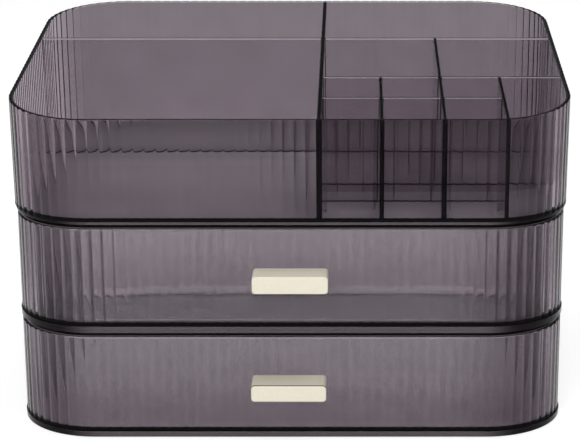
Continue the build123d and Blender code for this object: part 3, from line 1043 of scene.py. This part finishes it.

for word, tub in tubs.items():
    low, high = box_mm(word + "_drawer_tub")
    band_z, lip_z = low[Z] + DRAWER_FLOOR + FOOT_BAND, high[Z] - EDGE - LIP
    foot_shade, top_shade, corner_shade = FRONT_PAINTED_SHADES[word]

    def front_face(at, up, from_z=-math.inf, to_z=math.inf):
        """The outer faces of the front and its corners, between two heights."""
        return (at[:, Y] < DRAWER_FRONT_END) & looks_outwards(at, up) & (at[:, Z] > from_z) & (at[:, Z] < to_z)

    # painted shade on the box walls and the fronts, and a grey lip as a painted highlight
    face_finish(tub, lambda at, up: (at[:, Y] > DRAWER_FRONT_END) & looks_outwards(at, up), painted_shade="C8C1C7",
                towards=(Y, "E6E1E5", BOX_SHADE_END, CLEAR_DEPTH))
    face_finish(tub, lambda at, up: front_face(at, up, band_z, lip_z), FRONT_HAZE, foot_shade,
                (Z, top_shade, low[Z] + SHADE_FROM, low[Z] + SHADE_TO))
    for side, start in ((-1, SHADE_LEFT), (1, SHADE_RIGHT)):
        face_finish(tub, lambda at, up: front_face(at, up) & (at[:, X] * side > 0), FRONT_HAZE,
                    towards=(X, corner_shade, side * (case_corner_x + start), side * (case_corner_x + SHADE_END)))
    face_finish(tub, lambda at, up: front_face(at, up, lip_z, high[Z] - EDGE), haze=0.4, painted_shade="A89EA5")
    stripe_front(tub, lambda at, up: front_face(at, up, band_z, lip_z))
    second_material(tub, dark_edge, lambda at, up: (at[:, Z] < band_z) & looks_outwards(at, up))

# %% [markdown]
# A handle is a short bar with a rounded outline, which stands out from the drawer. A cube with a bevel would round
# all twelve edges alike. This bar has a wide radius round its outline and a very small one at its front, so it is a
# stack again, this time from the drawer to the front: outlines upright, in x and z, at depths y.

# %% Handles
HANDLE_RADIUS = 1.8
HANDLE_BEVEL = 0.35
HANDLE_NECK = 0.9
NECK_STEP = 0.1
HANDLE_POINTS = 160
BEVEL_FACE = 0.1  # a face of the top front bevel climbs more than this, and looks forwards by more than this
HANDLE_SHIFT = {"lower": -0.2, "upper": 1.0}  # the photographed bars don't sit exactly in the middle


def handle_bar(name, low, high):
    """A slightly narrower neck at the drawer, the full outline, and a small round edge at the front. Point = (middle
    x + outline x, depth, middle z + outline y)."""
    share = np.arange(HANDLE_POINTS) / HANDLE_POINTS
    steps = [(HANDLE_BEVEL, high[Y]), (HANDLE_BEVEL, high[Y] - HANDLE_NECK), (0, high[Y] - HANDLE_NECK - NECK_STEP)]
    steps += [(HANDLE_BEVEL * (1 - c), low[Y] + HANDLE_BEVEL * (1 - s)) for s, c in zip(*quarter_turn(5))]
    rings = []
    for inset, y in steps:
        place, _ = outline(high[X] - low[X] - 2 * inset, high[Z] - low[Z] - 2 * inset, HANDLE_RADIUS - inset, share)
        rings.append(np.column_stack([place[:, 0] + (low[X] + high[X]) / 2, np.full(len(share), y),
                                      place[:, 1] + (low[Z] + high[Z]) / 2]))
    return closed_stack(name, rings)


for word in ("lower", "upper"):
    low, high = box_mm(word + "_drawer_handle")
    low[X], high[X] = low[X] + HANDLE_SHIFT[word], high[X] + HANDLE_SHIFT[word]
    bar = handle_bar(word + "_drawer_handle_bar", low, high)
    finish_piece(bar, word + "_drawer", [word + "_drawer_handle"], lacquer)
    # painted shade on the neck, where the bar meets the drawer
    second_material(bar, lacquer_neck_shade, lambda at, up: at[:, Y] > high[Y] - HANDLE_NECK)
    # the lower bar gets a painted dark line along its top front edge
    if word == "lower":
        second_material(bar, lacquer_line, lambda at, up: (up[:, Z] > BEVEL_FACE) & (up[:, Y] < -BEVEL_FACE)
                        & (at[:, Y] < low[Y] + HANDLE_BEVEL))

# %% [markdown]
# The screws inside the drawers and the studs under the tray are small and plain, so they keep their CAD shapes and
# only get a better finish.

# %% Screws and studs
for node, material in (("lower_drawer_handle_screws", steel), ("upper_drawer_handle_screws", steel),
                       ("tray_locating_studs", smoke_stud)):
    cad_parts[node].data.materials.clear()
    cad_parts[node].data.materials.append(material)
    print(node, "gets", material.name)

# %% [markdown]
# The floor is matt white paper. Clear plastic shows what is behind it, so the floor has to look white through the
# plastic and in its gloss as well as to the camera, and it should still carry the object's soft shadow. More light
# would bleach the object. Instead the paper glows a little, but only for those three kinds of ray. The sheet is
# open, so the volume that is printed for it means nothing.


# %% Paper floor
PAPER = "B4B4B4"
FLOOR_GLOW = 0.70
HALF_FLOOR = 6000
BELOW_FEET = 0.5


def floor_material():
    """Diffuse paper + a glow for camera, transmission and glossy rays: glow = strength * the largest of the three."""
    material, tree = new_material("paper_floor")
    path = add(tree, "ShaderNodeLightPath")
    seen = add(tree, "ShaderNodeMath", [(0, path, "Is Camera Ray"), (1, path, "Is Transmission Ray")],
               operation="MAXIMUM")
    seen = add(tree, "ShaderNodeMath", [(0, seen, 0), (1, path, "Is Glossy Ray")], operation="MAXIMUM")
    paper = add(tree, "ShaderNodeBsdfDiffuse", Color=linear(PAPER))
    glow = add(tree, "ShaderNodeEmission", [("Strength", seen, 0)], Color=(FLOOR_GLOW, FLOOR_GLOW, FLOOR_GLOW, 1))
    both = add(tree, "ShaderNodeAddShader", [(0, paper, 0), (1, glow, 0)])
    add(tree, "ShaderNodeOutputMaterial", [("Surface", both, 0)])
    return material


corners = np.array([(-1, -1), (1, -1), (1, 1), (-1, 1)]) * HALF_FLOOR
floor = object_from("paper_floor", np.column_stack([corners, np.full(4, -BELOW_FEET)]), [[0, 1, 2, 3]], smooth=False)
floor.data.materials.append(floor_material())

# %% [markdown]
# The world is white near the horizon, which the plastic shows behind the tray, and dim above, so that the lamps and
# not the sky model the object.

# %% World
HORIZON_END, SKY_START = 0.08, 0.16  # heights of the view direction, where 1 is straight up
SKY = 0.15

world = bpy.data.worlds.new("studio")
bpy.context.scene.world = world
world.use_nodes = True
world.node_tree.nodes.clear()
tree = world.node_tree
direction = add(tree, "ShaderNodeTexCoord")
height = add(tree, "ShaderNodeSeparateXYZ", [("Vector", direction, "Generated")])
strength = add(tree, "ShaderNodeMapRange", [("Value", height, "Z")], interpolation_type="SMOOTHSTEP",
               From_Min=HORIZON_END, From_Max=SKY_START, To_Min=1.0, To_Max=SKY)
background = add(tree, "ShaderNodeBackground", [("Strength", strength, 0)], Color=(1, 1, 1, 1))
add(tree, "ShaderNodeOutputWorld", [("Surface", background, 0)])
print("world:", world.name, "with a sky of", SKY)

# %% [markdown]
# Two large soft lamps, as in a product studio: one in front on the left, which lights the handles, and one overhead,
# which lights the rims. Their power is set so that a colour renders about as it is written.

# %% Lamps
AIM = (0, 0, 0.1)
LAMP_SIZE = 2.0


def area_lamp(name, location, power):
    """A square soft lamp that looks at the object: tilt = atan2(level distance, drop), turn = its bearing - 90."""
    data = bpy.data.lights.new(name, "AREA")
    data.shape = "SQUARE"
    data.size = LAMP_SIZE
    data.energy = power
    lamp = bpy.data.objects.new(name, data)
    bpy.context.scene.collection.objects.link(lamp)
    lamp.location = location
    aim = np.array(AIM) - np.array(location)
    lamp.rotation_euler = (math.atan2(math.hypot(aim[X], aim[Y]), -aim[Z]), 0,
                           math.atan2(aim[Y], aim[X]) - math.pi / 2)
    print(name, "at", location, "with", power, "W")


area_lamp("front_softbox", (-0.6, -2.4, 1.5), 65)
area_lamp("top_softbox", (0.3, 0.2, 2.6), 36)

# %% [markdown]
# The camera was fitted to about fifty edges in the photograph. The fit gives a focal length in pixels, a place, a
# tilt of 16.4 degrees downwards and a picture centre that lies to the right of the middle, as after a crop. The
# shift brings that back. Turning the camera instead would change the slant of the object's edges.

# %% Camera
PHOTO_WIDTH = 580
FOCAL_PIXELS = 1929.7
CENTRE_PIXEL = 355.39
SENSOR = 36.0
DOWNWARDS = 16.395

camera_data = bpy.data.cameras.new("photo_camera")
camera_data.sensor_width = SENSOR
camera_data.lens = FOCAL_PIXELS / PHOTO_WIDTH * SENSOR
camera_data.shift_x = -(CENTRE_PIXEL - PHOTO_WIDTH / 2) / PHOTO_WIDTH
camera = bpy.data.objects.new("photo_camera", camera_data)
bpy.context.scene.collection.objects.link(camera)
camera.location = (0.03543, -1.0889, 0.4110)
camera.rotation_euler = (math.radians(90 - DOWNWARDS), 0, 0)
bpy.context.scene.camera = camera
bpy.context.scene.view_settings.view_transform = "Standard"
print("lens %.1f mm on a %g mm sensor, shift %.4f" % (camera_data.lens, SENSOR, camera_data.shift_x))
